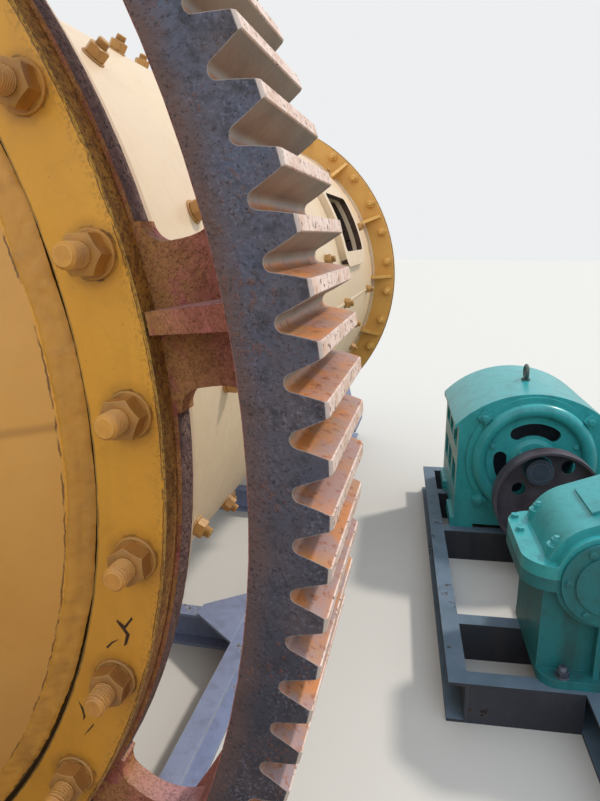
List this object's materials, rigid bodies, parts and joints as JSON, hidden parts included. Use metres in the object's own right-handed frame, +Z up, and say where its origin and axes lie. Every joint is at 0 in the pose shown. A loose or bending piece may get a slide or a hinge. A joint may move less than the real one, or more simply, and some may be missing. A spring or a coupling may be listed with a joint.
{
  "type": "ball mill",
  "caption": "Horizontal grinding mill: a bolted drum on two hollow trunnions, with a spoked girth gear, base frame, and a motor and gear reducer on their own skid.",
  "frame": {"origin": "on the floor, at the centre of the base frame's four anchor holes, under the middle of the drum", "axes": "+X along the drum's axis from the girth gear's end to the feed end, +Z up, drive unit at -Y"},
  "size_m": [4.8, 3.572, 2.2979],
  "materials": {
    "blue_grey_paint": "satin paint, dusty",
    "green_paint": "gloss enamel on castings",
    "shell_cream_paint": "yellow-cream enamel, faded",
    "flange_yellow_paint": "yellow enamel, cracked and peeled in places",
    "bare_machined_steel": "machined",
    "cast_gear_steel": "machined and cast steel with rust",
    "worn_liner_steel": "cast manganese steel, rusty",
    "dark_steel": "dark paint, dusty"
  },
  "bodies": {
    "root": {"base_beam_drive_side": "blue_grey_paint", "base_beam_far_side": "blue_grey_paint", "base_cross_members": "blue_grey_paint", "base_gussets": "blue_grey_paint", "feed_bearing_stand": "blue_grey_paint", "discharge_bearing_stand": "blue_grey_paint", "feed_bearing_housing": "green_paint", "feed_bearing_cap": "green_paint", "discharge_bearing_housing": "green_paint", "discharge_bearing_cap": "green_paint", "motor_frame": "green_paint", "motor_front_shield": "green_paint", "motor_rear_shield": "green_paint", "reducer_upper_housing": "green_paint", "reducer_lower_housing": "green_paint", "reducer_bearing_caps": "green_paint", "reducer_inspection_cover": "green_paint", "reducer_shaft_ends": "bare_machined_steel", "skid_long_beams": "dark_steel", "skid_cross_members": "dark_steel", "coupling_guard": "dark_steel", "motor_lifting_eye": "dark_steel"},
    "drum": {"shell_discharge_drive_half": "shell_cream_paint", "shell_discharge_far_half": "shell_cream_paint", "shell_feed_upper_half": "shell_cream_paint", "shell_feed_lower_half": "shell_cream_paint", "manhole_frame": "shell_cream_paint", "feed_flange_ribs": "shell_cream_paint", "discharge_flange_ribs": "shell_cream_paint", "discharge_shell_flange": "flange_yellow_paint", "feed_shell_flange": "flange_yellow_paint", "feed_head": "flange_yellow_paint", "discharge_head": "flange_yellow_paint", "feed_trunnion": "bare_machined_steel", "discharge_trunnion": "bare_machined_steel", "girth_gear_drive_half": "cast_gear_steel", "girth_gear_far_half": "cast_gear_steel", "shell_liners": "worn_liner_steel"},
    "motor_rotor": {"motor_rotor_shaft": "bare_machined_steel", "motor_coupling": "dark_steel"}
  },
  "joints": [
    {"name": "drum_spin", "type": "hinge", "parent": "root", "child": "drum", "pos_m": [0, 0, 1.21], "axis": [1, 0, 0], "continuous": true},
    {"name": "motor_spin", "type": "hinge", "parent": "root", "child": "motor_rotor", "pos_m": [0.54995, -1.6076, 0.486], "axis": [0.9973, 0.0732, 0], "continuous": true}
  ]
}
